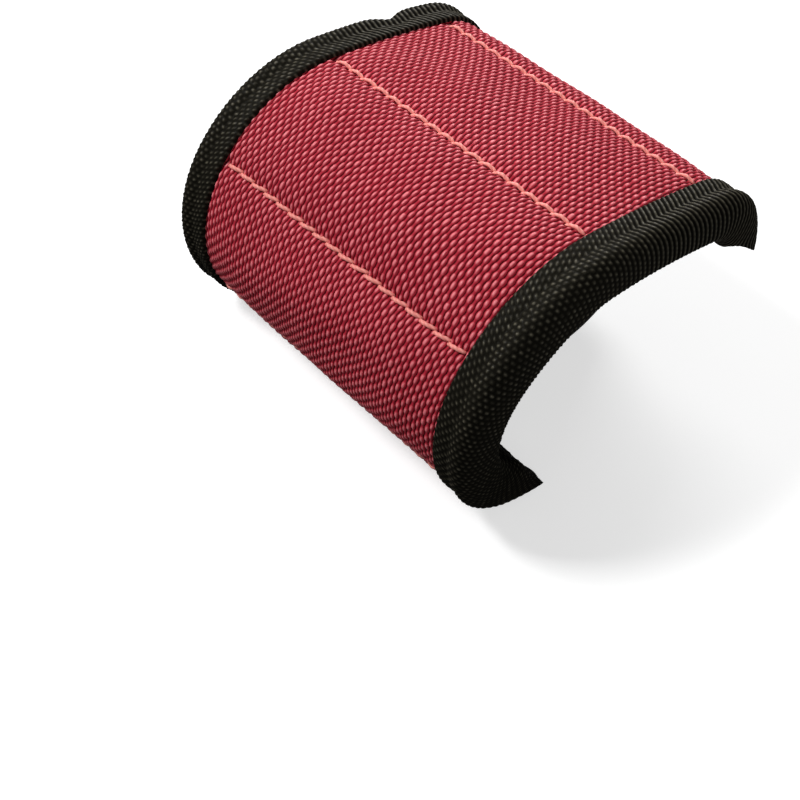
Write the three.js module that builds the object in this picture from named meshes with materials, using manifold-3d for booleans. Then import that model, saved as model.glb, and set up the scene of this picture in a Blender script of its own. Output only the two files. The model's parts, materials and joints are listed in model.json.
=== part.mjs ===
// A magnetic wristband: a padded band of five sewn pockets, each holding three disc magnets between a woven
// cover and a mesh lining, bound in tape all round and closed under the wrist by a hook-and-loop strap.
// Millimetres, +Z up. +Y runs along the wrist, +X across it. The band stands on its closure, as it is worn
// with the closure under the wrist.
import * as THREE from "three";
import { mergeVertices } from "three/addons/utils/BufferGeometryUtils.js";
import Module from "manifold-3d";

// Band: its width along the wrist, the pockets between sewn lines, and how far each pocket curls in degrees,
// from the end under the wrist on the left, over the top, to the end that carries the strap.
const BAND_WIDTH = 90;
const POCKET_LENGTH = 32.6;
const END_POCKET_LENGTH = 24.1;
const POCKET_CURLS = [74, 65, 56, 7, 86];
const LEFT_END_LIFT = 7.5;

// Layers, from the outside in. The padding is squeezed under the binding and swells between the seams.
const COVER_THICKNESS = 0.8;
const EDGE_PADDING = 5.7;
const LINING_THICKNESS = 0.6;
const OUTER_SWELL = 1.4;
const END_POCKET_FILL = 0.4;
const LAYER_GAP = 0.3;
const SEAM_GAP = 0.3;

// Magnets, three to a pocket, each in a well of the padding.
const MAGNET_DIAMETER = 12;
const MAGNET_THICKNESS = 1.5;
const MAGNET_SPACING = 22;
const MAGNET_CLEARANCE = 0.3;
const WELL_FLOOR = 0.6;

// Binding tape folded over the long edges and the two short ends. The ends are sewn thin: the band's thickness
// there is a share of its full thickness, which it reaches a little way in.
const BINDING_REACH = 9.3;
const BINDING_THICKNESS = 1;
const BINDING_ROUNDING = 2.4;
const END_BINDING_REACH = 8;
const END_SQUEEZE = 0.62;
const END_SQUEEZE_REACH = 10;

// Closure under the wrist: a tab with loop pile on the left end, a strap with hook tape on the right end.
const STRAP_WIDTH = 40;
const STRAP_THICKNESS = 1.2;
const HOOK_THICKNESS = 0.6;
const PILE_THICKNESS = 0.8;
const STRAP_BEND_RADIUS = 22;
const TAB_LENGTH = 28;
const TIP_LENGTH = 27;
const TIP_CLEARANCE = 1;
const TIP_CORNER = 7;
const TAPE_MARGIN = 2;

// Facets
const POCKET_STEPS = 6;
const WIDTH_STEPS = 6;
const CORNER_STEPS = 2;
const LEG_STEPS = 2;
const STRAP_STEPS = 10;
const MAGNET_SIDES = 18;
const FOOT_STEPS = 24;
const SWELL_POWER = 4;

// Bends below this count as straight, in radians a millimetre, and points closer than this are one point.
const STRAIGHT_BEND = 1e-9;
const SAME_POINT = 1e-3;

const wasm = await Module();
wasm.setup();

const radians = THREE.MathUtils.degToRad;
const clamp = THREE.MathUtils.clamp;

// A line of arcs laid end to end, seen along the wrist. Each arc has a length and turns clockwise by its curl.
function lineOfArcs(x, z, heading, arcs) {
  const line = [];
  let start = { x, z, heading };
  let from = 0;
  for (const { length, curl } of arcs) {
    line.push({ ...start, from, length, bend: curl / length });
    start = pointOnLine(line, from + length);
    from += length;
  }
  return line;
}

// The point at a distance along a line of arcs, and the heading there.
function pointOnLine(line, distance) {
  const arc = line.findLast((a) => distance >= a.from) ?? line[0];
  const d = distance - arc.from;
  const heading = arc.heading - arc.bend * d;
  if (Math.abs(arc.bend) < STRAIGHT_BEND) {
    return { x: arc.x + d * Math.cos(heading), z: arc.z + d * Math.sin(heading), heading };
  }
  const x = arc.x + (Math.sin(arc.heading) - Math.sin(heading)) / arc.bend;
  const z = arc.z + (Math.cos(heading) - Math.cos(arc.heading)) / arc.bend;
  return { x, z, heading };
}

// A point a distance along a line, across the band, and raised off the line to its left-hand, outer side.
function place(line, distance, across, height) {
  const { x, z, heading } = pointOnLine(line, distance);
  return new THREE.Vector3(x - height * Math.sin(heading), across, z + height * Math.cos(heading));
}

// A closed skin through sections, each a row of outer points over a row of inner points.
function loft(sections) {
  const count = sections[0].outer.length;
  const last = sections.length - 1;
  const points = sections.flatMap(({ outer, inner }) => [...outer, ...inner]);
  const outer = (i, j) => 2 * count * i + j;
  const inner = (i, j) => 2 * count * i + count + j;
  const faces = [];
  const quad = (a, b, c, d) => faces.push(a, b, c, a, c, d);
  for (let i = 0; i < last; i++) {
    for (let j = 0; j < count - 1; j++) {
      quad(outer(i, j), outer(i + 1, j), outer(i + 1, j + 1), outer(i, j + 1));
      quad(inner(i, j), inner(i, j + 1), inner(i + 1, j + 1), inner(i + 1, j));
    }
    quad(outer(i, 0), inner(i, 0), inner(i + 1, 0), outer(i + 1, 0));
    quad(outer(i + 1, count - 1), inner(i + 1, count - 1), inner(i, count - 1), outer(i, count - 1));
  }
  for (let j = 0; j < count - 1; j++) {
    quad(outer(0, j), outer(0, j + 1), inner(0, j + 1), inner(0, j));
    quad(inner(last, j), inner(last, j + 1), outer(last, j + 1), outer(last, j));
  }
  const geometry = new THREE.BufferGeometry().setFromPoints(points);
  geometry.setIndex(faces);
  geometry.computeVertexNormals();
  return geometry;
}

// Evenly spaced values from one number to another.
function spread(from, to, steps) {
  return Array.from({ length: steps + 1 }, (_, i) => from + ((to - from) * i) / steps);
}

// A geometry as a solid for cutting.
function solidOf(geometry) {
  const bare = new THREE.BufferGeometry();
  bare.setAttribute("position", geometry.getAttribute("position"));
  bare.setIndex(geometry.getIndex());
  const merged = mergeVertices(bare, SAME_POINT);
  const vertProperties = new Float32Array(merged.getAttribute("position").array);
  const triVerts = new Uint32Array(merged.getIndex().array);
  return new wasm.Manifold(new wasm.Mesh({ numProp: 3, vertProperties, triVerts }));
}

// A geometry with others cut out of it.
function cut(geometry, cutters) {
  const solid = cutters.reduce((left, cutter) => left.subtract(solidOf(cutter)), solidOf(geometry));
  const mesh = solid.getMesh();
  const result = new THREE.BufferGeometry();
  result.setAttribute("position", new THREE.BufferAttribute(mesh.vertProperties, 3));
  result.setIndex(new THREE.BufferAttribute(mesh.triVerts, 1));
  result.computeVertexNormals();
  return result;
}

// The folded tape's two faces as points [distance from the fold, height], from the outer leg round to the inner.
function foldedTape(reach, top, bottom, legSteps) {
  const face = (inset, rounding) => {
    const high = top - inset;
    const low = bottom + inset;
    const turn = inset + rounding;
    const leg = spread(reach, turn, legSteps).slice(0, -1);
    const corner = spread(0, Math.PI / 2, CORNER_STEPS);
    return [
      ...leg.map((d) => [d, high]),
      ...corner.map((a) => [turn - rounding * Math.sin(a), high - rounding * (1 - Math.cos(a))]),
      ...corner.map((a) => [turn - rounding * Math.cos(a), low + rounding * (1 - Math.sin(a))]),
      ...leg.toReversed().map((d) => [d, low]),
    ];
  };
  const outer = face(0, BINDING_ROUNDING);
  const inner = face(BINDING_THICKNESS, BINDING_ROUNDING - BINDING_THICKNESS);
  return { outer, inner };
}

// Materials
const standard = (color, roughness, metalness) =>
  new THREE.MeshStandardMaterial({ color, roughness, metalness });
const materials = {
  cover: standard(0x8a1c36, 0.75, 0),
  padding: standard(0xd8d2c4, 0.95, 0),
  lining: standard(0x17181a, 0.95, 0),
  binding: standard(0x121212, 0.85, 0),
  magnet: standard(0xb9bcc0, 0.3, 1),
  webbing: standard(0x161616, 0.85, 0),
  pile: standard(0x1d1d1f, 1, 0),
  hook: standard(0x0f0f10, 0.6, 0),
};

// Levels through the band at its bound edges, measured from the cover's outer face.
const paddingTop = -COVER_THICKNESS - LAYER_GAP;
const edgePaddingBottom = paddingTop - EDGE_PADDING;
const edgeLiningTop = edgePaddingBottom - LAYER_GAP;
const edgeLiningBottom = edgeLiningTop - LINING_THICKNESS;
const bindingTop = LAYER_GAP + BINDING_THICKNESS;
const bindingBottom = edgeLiningBottom - bindingTop;

// A flat magnet in a curled pocket stands off the curve at its rim by the rise of its chord.
const pocketLengths = POCKET_CURLS.map((_, i) =>
  i === 0 || i === POCKET_CURLS.length - 1 ? END_POCKET_LENGTH : POCKET_LENGTH);
const wellRadius = MAGNET_DIAMETER / 2 + MAGNET_CLEARANCE;
const rimLevel = paddingTop - MAGNET_CLEARANCE;
const chordRises = POCKET_CURLS.map((curl, i) => {
  const radius = pocketLengths[i] / radians(curl) + rimLevel - MAGNET_THICKNESS;
  return radius - Math.sqrt(Math.max(radius * radius - wellRadius * wellRadius, 0));
});
const wellBottom = rimLevel - Math.max(...chordRises) - MAGNET_THICKNESS - MAGNET_CLEARANCE;
const innerSwell = Math.max(edgePaddingBottom - (wellBottom - WELL_FLOOR), 0);

// Levels of the closure above the floor: strap, hook tape, loop pile and tab lie on each other.
const hookBottom = STRAP_THICKNESS + LAYER_GAP;
const pileBottom = hookBottom + HOOK_THICKNESS + LAYER_GAP;
const tabBottom = pileBottom + PILE_THICKNESS + LAYER_GAP;
const tabLevel = tabBottom + STRAP_THICKNESS / 2;
const strapLevel = STRAP_THICKNESS / 2;

// The band's line along the cover's outer face, lowered so that its binding just touches the floor.
const pocketArcs = POCKET_CURLS.map((curl, i) => ({ length: pocketLengths[i], curl: radians(curl) }));
const bandStart = Math.PI + radians(LEFT_END_LIFT);
const rawLine = lineOfArcs(0, 0, bandStart, pocketArcs);
const footStations = spread(0, END_POCKET_LENGTH, FOOT_STEPS);
const footLow = Math.min(...footStations.map((s) => place(rawLine, s, 0, bindingTop).z));
const bandLine = lineOfArcs(0, -footLow, bandStart, pocketArcs);
const seams = pocketLengths.map((_, i) => pocketLengths.slice(0, i).reduce((sum, l) => sum + l, 0));
const bandLength = seams.at(-1) + END_POCKET_LENGTH;
const webbingHeight = bindingTop - tabLevel;

// Half-widths across the band: between the binding's legs, and up to where the binding's fold turns.
const openHalf = BAND_WIDTH / 2 - BINDING_REACH;
const layerHalf = BAND_WIDTH / 2 - BINDING_ROUNDING;

// Each pocket's stretch along the band, the stretch left open by the end bindings, and where its magnets lie.
const pockets = seams.map((from, i) => {
  const to = from + pocketLengths[i];
  const first = i === 0;
  const last = i === seams.length - 1;
  const openFrom = first ? END_BINDING_REACH : from;
  const openTo = last ? to - END_BINDING_REACH : to;
  return {
    number: i + 1,
    first,
    last,
    openFrom,
    openTo,
    centre: (openFrom + openTo) / 2,
    layerFrom: first ? BINDING_ROUNDING : from + SEAM_GAP / 2,
    layerTo: last ? to - BINDING_ROUNDING : to - SEAM_GAP / 2,
    tapeFrom: first ? 0 : from + SEAM_GAP / 2,
    tapeTo: last ? to : to - SEAM_GAP / 2,
    chordRise: chordRises[i],
    fill: first || last ? END_POCKET_FILL : 1,
  };
});

// How full a pocket is at a point: fullest over its middle, falling to 0 at its seams and under the binding.
function fullness(pocket, along, across) {
  const half = (pocket.openTo - pocket.openFrom) / 2;
  const t = clamp((along - pocket.centre) / half, -1, 1);
  const v = clamp(across / openHalf, -1, 1);
  return pocket.fill * (1 - t ** SWELL_POWER) * (1 - v ** SWELL_POWER);
}

// A point in the band's layers: as on the band's line, but squeezed towards the outer side near the two ends.
function layerPlace(along, across, height) {
  const fromEnd = clamp(Math.min(along, bandLength - along) / END_SQUEEZE_REACH, 0, 1);
  const squeeze = END_SQUEEZE + (1 - END_SQUEEZE) * Math.sin((fromEnd * Math.PI) / 2);
  return place(bandLine, along, across, bindingTop - (bindingTop - height) * squeeze);
}

// Where a pocket's layers bend: evenly over its open stretch, and under an end binding where it has one.
function layerStations({ first, last, layerFrom, layerTo, openFrom, openTo }) {
  const before = first ? spread(layerFrom, openFrom, LEG_STEPS).slice(0, -1) : [];
  const open = spread(Math.max(layerFrom, openFrom), Math.min(layerTo, openTo), POCKET_STEPS);
  const after = last ? spread(openTo, layerTo, LEG_STEPS).slice(1) : [];
  return [...before, ...open, ...after];
}

// One padded layer of a pocket, between two levels given by how full the pocket is there.
function pocketLayer(pocket, top, bottom) {
  const acrossPlaces = [-layerHalf, ...spread(-openHalf, openHalf, WIDTH_STEPS), layerHalf];
  const row = (s, level) =>
    acrossPlaces.map((w) => layerPlace(s, w, level(fullness(pocket, s, w))));
  const section = (s) => ({ outer: row(s, top), inner: row(s, bottom) });
  return loft(layerStations(pocket).map(section));
}

const coverTop = (full) => OUTER_SWELL * full;
const coverBottom = (full) => coverTop(full) - COVER_THICKNESS;
const padTop = (full) => coverBottom(full) - LAYER_GAP;
const padBottom = (full) => edgePaddingBottom - innerSwell * full;
const liningTop = (full) => padBottom(full) - LAYER_GAP;
const liningBottom = (full) => liningTop(full) - LINING_THICKNESS;

// A round plug about the outward direction at a pocket's centre, between two levels.
function plug(pocket, across, radius, bottom, top) {
  const { heading } = pointOnLine(bandLine, pocket.centre);
  const geometry = new THREE.CylinderGeometry(radius, radius, top - bottom, MAGNET_SIDES);
  geometry.rotateX(Math.PI / 2);
  geometry.rotateY(-heading);
  const middle = place(bandLine, pocket.centre, across, (top + bottom) / 2);
  return geometry.translate(middle.x, middle.y, middle.z);
}

const magnetPlaces = { near: -MAGNET_SPACING, middle: 0, far: MAGNET_SPACING };
const magnetTop = (pocket) => rimLevel - pocket.chordRise;

function magnet(pocket, across) {
  const top = magnetTop(pocket);
  return plug(pocket, across, MAGNET_DIAMETER / 2, top - MAGNET_THICKNESS, top);
}

// The padding of a pocket with its magnet wells, open towards the cover.
function padding(pocket) {
  const bottom = magnetTop(pocket) - MAGNET_THICKNESS - MAGNET_CLEARANCE;
  const above = OUTER_SWELL + bindingTop;
  const wells = Object.values(magnetPlaces).map((w) => plug(pocket, w, wellRadius, bottom, above));
  return cut(pocketLayer(pocket, padTop, padBottom), wells);
}

// Binding along one long edge of a pocket: side is -1 for the near edge, 1 for the far edge.
function sideBinding(pocket, side) {
  const tape = foldedTape(BINDING_REACH, bindingTop, bindingBottom, 1);
  const ordered = (points) => (side > 0 ? points : points.toReversed());
  const row = (s, points) =>
    ordered(points).map(([d, h]) => layerPlace(s, side * (BAND_WIDTH / 2 - d), h));
  const stations = spread(pocket.tapeFrom, pocket.tapeTo, POCKET_STEPS);
  return loft(stations.map((s) => ({ outer: row(s, tape.outer), inner: row(s, tape.inner) })));
}

// Binding over a short end, between the two side bindings.
function endBinding(atStart) {
  const tape = foldedTape(END_BINDING_REACH, bindingTop, bindingBottom, LEG_STEPS);
  const half = openHalf - LAYER_GAP;
  const ordered = (points) => (atStart ? points : points.toReversed());
  const row = (w, points) =>
    ordered(points).map(([d, h]) => layerPlace(atStart ? d : bandLength - d, w, h));
  return loft([-half, half].map((w) => ({ outer: row(w, tape.outer), inner: row(w, tape.inner) })));
}

// A flat strip along a line between two levels; its far end is rounded at the corners where a radius is given.
function strip(line, from, to, width, bottom, top, corner, steps) {
  const roundFrom = to - corner;
  const rounded = spread(0, Math.PI / 2, CORNER_STEPS + 1).map((a) => roundFrom + corner * Math.sin(a));
  const stations = [...spread(from, roundFrom, steps), ...(corner > 0 ? rounded.slice(1) : [])];
  const half = (s) => {
    const into = Math.max(s - roundFrom, 0);
    return width / 2 - corner + Math.sqrt(Math.max(corner * corner - into * into, 0));
  };
  const row = (s, level) => [-half(s), half(s)].map((w) => place(line, s, w, level));
  return loft(stations.map((s) => ({ outer: row(s, top), inner: row(s, bottom) })));
}

// The tab's line: level, from the left end's face to the right.
const tabRoot = place(bandLine, 0, 0, webbingHeight);
const tabFaceSlope = (STRAP_THICKNESS / 2) * Math.tan(radians(LEFT_END_LIFT));
const tabStart = tabRoot.x + LAYER_GAP + tabFaceSlope;
const tabLine = lineOfArcs(tabStart, tabLevel, 0, [{ length: TAB_LENGTH, curl: 0 }]);

// The strap's line: straight out of the right end, round to the floor in one arc, then level to the left.
const strapRoot = place(bandLine, bandLength, 0, webbingHeight);
const strapHeading = pointOnLine(bandLine, bandLength).heading;
const strapCurl = Math.PI + strapHeading;
const bendDrop = STRAP_BEND_RADIUS * (1 + Math.cos(strapHeading));
const strapHang = (strapRoot.z - strapLevel - bendDrop) / -Math.sin(strapHeading);
const bendLength = STRAP_BEND_RADIUS * strapCurl;
const bendReach = STRAP_BEND_RADIUS * Math.sin(strapHeading);
const levelStart = strapRoot.x + strapHang * Math.cos(strapHeading) + bendReach;
const tipEnd = place(bandLine, 0, 0, bindingTop).x + TIP_CLEARANCE;
const levelLength = levelStart - tipEnd;
const strapLine = lineOfArcs(strapRoot.x, strapRoot.z, strapHeading, [
  { length: strapHang, curl: 0 },
  { length: bendLength, curl: strapCurl },
  { length: levelLength, curl: 0 },
]);
const strapLength = strapHang + bendLength + levelLength;
const tipStart = strapLength - TIP_LENGTH;
const strapHalf = STRAP_THICKNESS / 2;

// Flex lines: the band bends along its sewn lines just outside the binding, the strap along its outer face.
const seamPivots = seams.slice(1).map((s) => place(bandLine, s, 0, bindingTop));
const strapPivot = place(strapLine, LAYER_GAP / 2, 0, strapHalf);
const tipPivot = place(strapLine, tipStart, 0, strapHalf);

// Each stretch between flex lines is a group that turns about its own flex line and carries the next one.
const wristband = new THREE.Group();
wristband.name = "magnetic_wristband";
const pivots = [new THREE.Vector3(), ...seamPivots, strapPivot, tipPivot];
const stretches = pivots.map((pivot, i) => {
  const group = new THREE.Group();
  group.name = "stretch_" + (i + 1);
  group.position.copy(pivot).sub(i > 0 ? pivots[i - 1] : new THREE.Vector3());
  return group;
});
stretches.forEach((group, i) => (i > 0 ? stretches[i - 1] : wristband).add(group));

function addPiece(stretch, name, geometry, material) {
  const { x, y, z } = pivots[stretch];
  const mesh = new THREE.Mesh(geometry.translate(-x, -y, -z), material);
  mesh.name = name;
  stretches[stretch].add(mesh);
}

for (const pocket of pockets) {
  const { number } = pocket;
  const stretch = number - 1;
  addPiece(stretch, "cover_" + number, pocketLayer(pocket, coverTop, coverBottom), materials.cover);
  addPiece(stretch, "padding_" + number, padding(pocket), materials.padding);
  addPiece(stretch, "lining_" + number, pocketLayer(pocket, liningTop, liningBottom), materials.lining);
  for (const [where, across] of Object.entries(magnetPlaces)) {
    addPiece(stretch, "magnet_" + number + "_" + where, magnet(pocket, across), materials.magnet);
  }
  addPiece(stretch, "near_binding_" + number, sideBinding(pocket, -1), materials.binding);
  addPiece(stretch, "far_binding_" + number, sideBinding(pocket, 1), materials.binding);
}

const lastPocket = pockets.length - 1;
const strapStretch = lastPocket + 1;
const tipStretch = lastPocket + 2;
addPiece(0, "left_end_binding", endBinding(true), materials.binding);
addPiece(lastPocket, "right_end_binding", endBinding(false), materials.binding);

const tab = strip(tabLine, 0, TAB_LENGTH, STRAP_WIDTH, -strapHalf, strapHalf, TIP_CORNER, 1);
addPiece(0, "loop_tab", tab, materials.webbing);

const pileTop = -strapHalf - LAYER_GAP;
const pileWidth = STRAP_WIDTH - 2 * TAPE_MARGIN;
const pile = strip(tabLine, 0, TAB_LENGTH - TAPE_MARGIN, pileWidth, pileTop - PILE_THICKNESS, pileTop,
  TIP_CORNER - TAPE_MARGIN, 1);
addPiece(0, "loop_pile", pile, materials.pile);

const strapBody = strip(strapLine, LAYER_GAP, tipStart - SEAM_GAP / 2, STRAP_WIDTH, -strapHalf, strapHalf,
  0, STRAP_STEPS);
addPiece(strapStretch, "strap", strapBody, materials.webbing);

const tip = strip(strapLine, tipStart + SEAM_GAP / 2, strapLength, STRAP_WIDTH, -strapHalf, strapHalf,
  TIP_CORNER, 1);
addPiece(tipStretch, "strap_tip", tip, materials.webbing);

const hookTop = -strapHalf - LAYER_GAP;
const hook = strip(strapLine, tipStart + TAPE_MARGIN, strapLength - TAPE_MARGIN, pileWidth,
  hookTop - HOOK_THICKNESS, hookTop, TIP_CORNER - TAPE_MARGIN, 1);
addPiece(tipStretch, "hook_tape", hook, materials.hook);

// The frame's origin is under the middle of the band, on the floor.
const box = new THREE.Box3().setFromObject(wristband);
const middle = box.getCenter(new THREE.Vector3());
stretches[0].position.set(-middle.x, -middle.y, -box.min.z);

export default wristband;
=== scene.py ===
# A magnetic wristband, dressed over its solids: a padded band of sewn pockets with a woven cover and bound
# edges, a mesh lining, and a hook-and-loop closure under the wrist. Metres, +Z up, in the frame of the
# solids.
import json

import bpy
import numpy as np
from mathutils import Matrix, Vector


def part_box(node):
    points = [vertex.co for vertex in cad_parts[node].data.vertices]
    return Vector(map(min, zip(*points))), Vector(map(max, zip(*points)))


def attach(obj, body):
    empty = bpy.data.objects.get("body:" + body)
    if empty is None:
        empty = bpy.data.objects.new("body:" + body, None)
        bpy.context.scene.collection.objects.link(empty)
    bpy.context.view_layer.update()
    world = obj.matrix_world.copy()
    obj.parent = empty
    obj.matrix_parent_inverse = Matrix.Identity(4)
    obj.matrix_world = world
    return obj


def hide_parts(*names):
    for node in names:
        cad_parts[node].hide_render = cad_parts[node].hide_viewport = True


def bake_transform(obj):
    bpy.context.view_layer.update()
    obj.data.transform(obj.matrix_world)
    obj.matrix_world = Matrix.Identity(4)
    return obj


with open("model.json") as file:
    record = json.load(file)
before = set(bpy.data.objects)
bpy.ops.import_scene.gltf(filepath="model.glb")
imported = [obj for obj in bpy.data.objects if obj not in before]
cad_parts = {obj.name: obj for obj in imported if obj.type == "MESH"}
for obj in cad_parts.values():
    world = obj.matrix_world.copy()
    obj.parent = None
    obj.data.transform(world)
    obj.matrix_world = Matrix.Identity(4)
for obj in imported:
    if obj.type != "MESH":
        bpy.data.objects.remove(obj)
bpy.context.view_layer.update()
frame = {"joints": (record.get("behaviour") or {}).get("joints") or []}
MM = 0.001

# The studio: the camera looks down on the band's near left side, as the photograph does. A plain pale floor
# turns up far away into a round backdrop. It glows a little, and throws no light back on the band. The
# lights are soft.
CAMERA_PLACE = Vector((-149.7, -149.1, 225.5)) * MM
CAMERA_TARGET = Vector((-39.25, -24.59, 26.09)) * MM
CAMERA_SENSOR = 36
CAMERA_LENS = 61.5
CAMERA_NEAR = 1 * MM
FLOOR_FLAT = 1.0
FLOOR_BEND = 1.5
FLOOR_TOP = 3.0
FLOOR_RINGS = 16
FLOOR_SIDES = 64
FLOOR_DROP = 0.4 * MM
FLOOR_COLOUR = (0.56, 0.56, 0.56, 1)
FLOOR_ROUGHNESS = 0.9
FLOOR_GLOW = 0.62
WHITE = (1, 1, 1, 1)
SKY_STRENGTH = 0.16
LIGHTS_TARGET = Vector((0, 0, 0.03))
# Each light's name, place, size and power.
LIGHTS = (
    ("key_light", (-0.34, 0.42, 0.68), 0.16, 5.4),
    ("back_light", (0.62, 0.46, 0.52), 0.50, 6.5),
    ("front_light", (-0.30, -0.62, 0.46), 0.50, 0.7),
)


def aim(obj, place, target):
    """Links an object and stands it at a place, looking at a target with its top side up."""
    obj.location = place
    obj.rotation_euler = (target - place).to_track_quat("-Z", "Y").to_euler()
    bpy.context.scene.collection.objects.link(obj)


camera = bpy.data.objects.new("camera", bpy.data.cameras.new("camera"))
camera.data.sensor_width = CAMERA_SENSOR
camera.data.lens = CAMERA_LENS
camera.data.clip_start = CAMERA_NEAR
aim(camera, CAMERA_PLACE, CAMERA_TARGET)
bpy.context.scene.camera = camera
bpy.context.scene.view_settings.view_transform = "Standard"

for light_name, light_place, light_size, light_power in LIGHTS:
    light = bpy.data.objects.new(light_name, bpy.data.lights.new(light_name, "AREA"))
    light.data.size = light_size
    light.data.energy = light_power
    aim(light, Vector(light_place), LIGHTS_TARGET)

sky = bpy.data.worlds.new("sky")
sky.use_nodes = True
sky.node_tree.nodes["Background"].inputs["Color"].default_value = WHITE
sky.node_tree.nodes["Background"].inputs["Strength"].default_value = SKY_STRENGTH
bpy.context.scene.world = sky

# The floor's profile is flat, then a quarter of a circle, then upright, and it is turned about the
# vertical.
floor_mesh = bpy.data.meshes.new("floor")
floor_bend = np.linspace(0, np.pi / 2, FLOOR_RINGS)
floor_radius = np.append(FLOOR_FLAT + FLOOR_BEND * np.sin(floor_bend), FLOOR_FLAT + FLOOR_BEND)
floor_height = np.append(FLOOR_BEND * (1 - np.cos(floor_bend)), FLOOR_TOP) - FLOOR_DROP
floor_turn = np.linspace(0, 2 * np.pi, FLOOR_SIDES, endpoint=False)
floor_points = np.stack(np.broadcast_arrays(floor_radius[:, None] * np.cos(floor_turn),
                                            floor_radius[:, None] * np.sin(floor_turn),
                                            floor_height[:, None]), axis=-1).reshape(-1, 3)
floor_index = np.arange(len(floor_points)).reshape(-1, FLOOR_SIDES)
floor_beside = np.roll(floor_index, -1, axis=1)
floor_walls = np.stack((floor_index[:-1], floor_index[1:], floor_beside[1:], floor_beside[:-1]), axis=-1)
floor_faces = [floor_index[0].tolist(), *floor_walls.reshape(-1, 4).tolist()]
floor_mesh.from_pydata(floor_points.tolist(), [], floor_faces)
floor_mesh.shade_smooth()
floor_paint = bpy.data.materials.new("floor_paint")
floor_paint.use_nodes = True
floor_sockets = floor_paint.node_tree.nodes["Principled BSDF"].inputs
floor_sockets["Base Color"].default_value = FLOOR_COLOUR
floor_sockets["Roughness"].default_value = FLOOR_ROUGHNESS
floor_sockets["Emission Color"].default_value = WHITE
floor_sockets["Emission Strength"].default_value = FLOOR_GLOW
floor_mesh.materials.append(floor_paint)
floor = bpy.data.objects.new("floor", floor_mesh)
bpy.context.scene.collection.objects.link(floor)
floor.visible_diffuse = False
floor.visible_glossy = False

# The woven cover: one length of coarse burgundy nylon, plain weave, laid over the foam and sewn down across
# the band into pockets. It is cut here at the middle of three pockets, so that each length bends over one
# sewn line.
BAND_WIDTH = 90 * MM
POCKET_LENGTHS = np.array((24.1, 32.6, 32.6, 32.6, 24.1)) * MM
POCKET_CURLS = np.radians((74, 65, 56, 7, 86))
LEFT_END_LIFT = np.radians(7.5)
BINDING_REACH = 9.3 * MM
BINDING_TOP = 1.3 * MM
END_BINDING_REACH = 8 * MM
END_SQUEEZE = 0.62
CORNER_SQUEEZE = 0.26
CORNER_FROM = 22 * MM
CORNER_TO = 36 * MM
END_SQUEEZE_REACH = 10 * MM
COVER_SWELL = 1.4 * MM
POCKET_FILLS = np.array((0.4, 1, 1, 1, 0.4))
COVER_THICKNESS = 0.8 * MM
COVER_HALF = 37.6 * MM
COVER_INSET = 3 * MM
SEAM_PINCH = 0.55 * MM
SEAM_PINCH_REACH = 1.2 * MM
STITCH_PITCH = 3.85 * MM
WARP_PITCH = 1.06 * MM
WEFT_PITCH = 1.2 * MM
THREAD_RISE = 0.11 * MM
WARP_ROUND = 0.30 * MM
WEFT_ROUND = 0.16 * MM
WEFT_SINK = 0.17 * MM
WARP_FILL = 0.98
WEFT_FILL = 0.90
FULL_POWER_ALONG = 3.2
FULL_POWER_ACROSS = 4
STITCH_PUCKER = 0.3
DRAPE = 0.22 * MM
DRAPE_WAVES = ((310, 95, 0), (-130, 240, 0))
DRIFT = 0.35
WARP_DRIFT_WAVE = (170, 60, 0)
WEFT_DRIFT_WAVE = (-70, 150, 1)
UNEVEN = 0.06
WARP_UNEVEN_TURN = 1.9
WEFT_UNEVEN_TURN = 1.7
SAMPLES_PER_WEFT = 6
COVER_COLUMNS = 448
COVER_BACK_COLUMNS = 8
FLEX_REACH = 3.5 * MM

POCKETS = len(POCKET_LENGTHS)
SEAMS = np.cumsum(POCKET_LENGTHS)
POCKET_STARTS = SEAMS - POCKET_LENGTHS
BAND_LENGTH = SEAMS[-1]
OPEN_HALF = BAND_WIDTH / 2 - BINDING_REACH
OPEN_FROM = np.maximum(POCKET_STARTS, END_BINDING_REACH)
OPEN_TO = np.minimum(SEAMS, BAND_LENGTH - END_BINDING_REACH)
CUTS = (POCKET_STARTS + SEAMS)[1:-1] / 2


def curl_line(start, heading, lengths, curls):
    """A line of arcs laid end to end, seen along the wrist: each arc turns clockwise by its curl.
    Returns a function of the distance along the line, the place across the band and the height off
    its outer side."""
    lengths, curls = np.array(lengths), np.array(curls)
    froms = np.cumsum(lengths) - lengths
    bends = curls / lengths
    headings = heading - (np.cumsum(curls) - curls)

    def chord(arc, distance):
        """The straight way from an arc's start to a distance along it, which heads halfway through the
        turn."""
        turn = bends[arc] * distance
        reach = distance * np.sinc(turn / (2 * np.pi))
        middle = headings[arc] - turn / 2
        return np.stack((reach * np.cos(middle), reach * np.sin(middle)), axis=-1)

    chords = chord(np.arange(len(lengths)), lengths)
    origins = np.array(start) + np.cumsum(chords, axis=0) - chords

    def point(along, across, height):
        """The arc's start, then the chord, then the height square to the heading that the arc has there."""
        along, across, height = np.broadcast_arrays(along, across, height)
        arc = np.clip(np.searchsorted(froms, along, side="right") - 1, 0, len(lengths) - 1)
        distance = along - froms[arc]
        turned = headings[arc] - bends[arc] * distance
        x, z = np.moveaxis(origins[arc] + chord(arc, distance), -1, 0)
        return np.stack((x - height * np.sin(turned), across, z + height * np.cos(turned)), axis=-1)

    return point


loose_line = curl_line((0, 0), np.pi + LEFT_END_LIFT, POCKET_LENGTHS, POCKET_CURLS)
first_flex = np.array(frame["joints"][0]["pos_m"]) - loose_line(SEAMS[0], 0.0, BINDING_TOP)
band = curl_line(first_flex[[0, 2]], np.pi + LEFT_END_LIFT, POCKET_LENGTHS, POCKET_CURLS)


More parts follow.
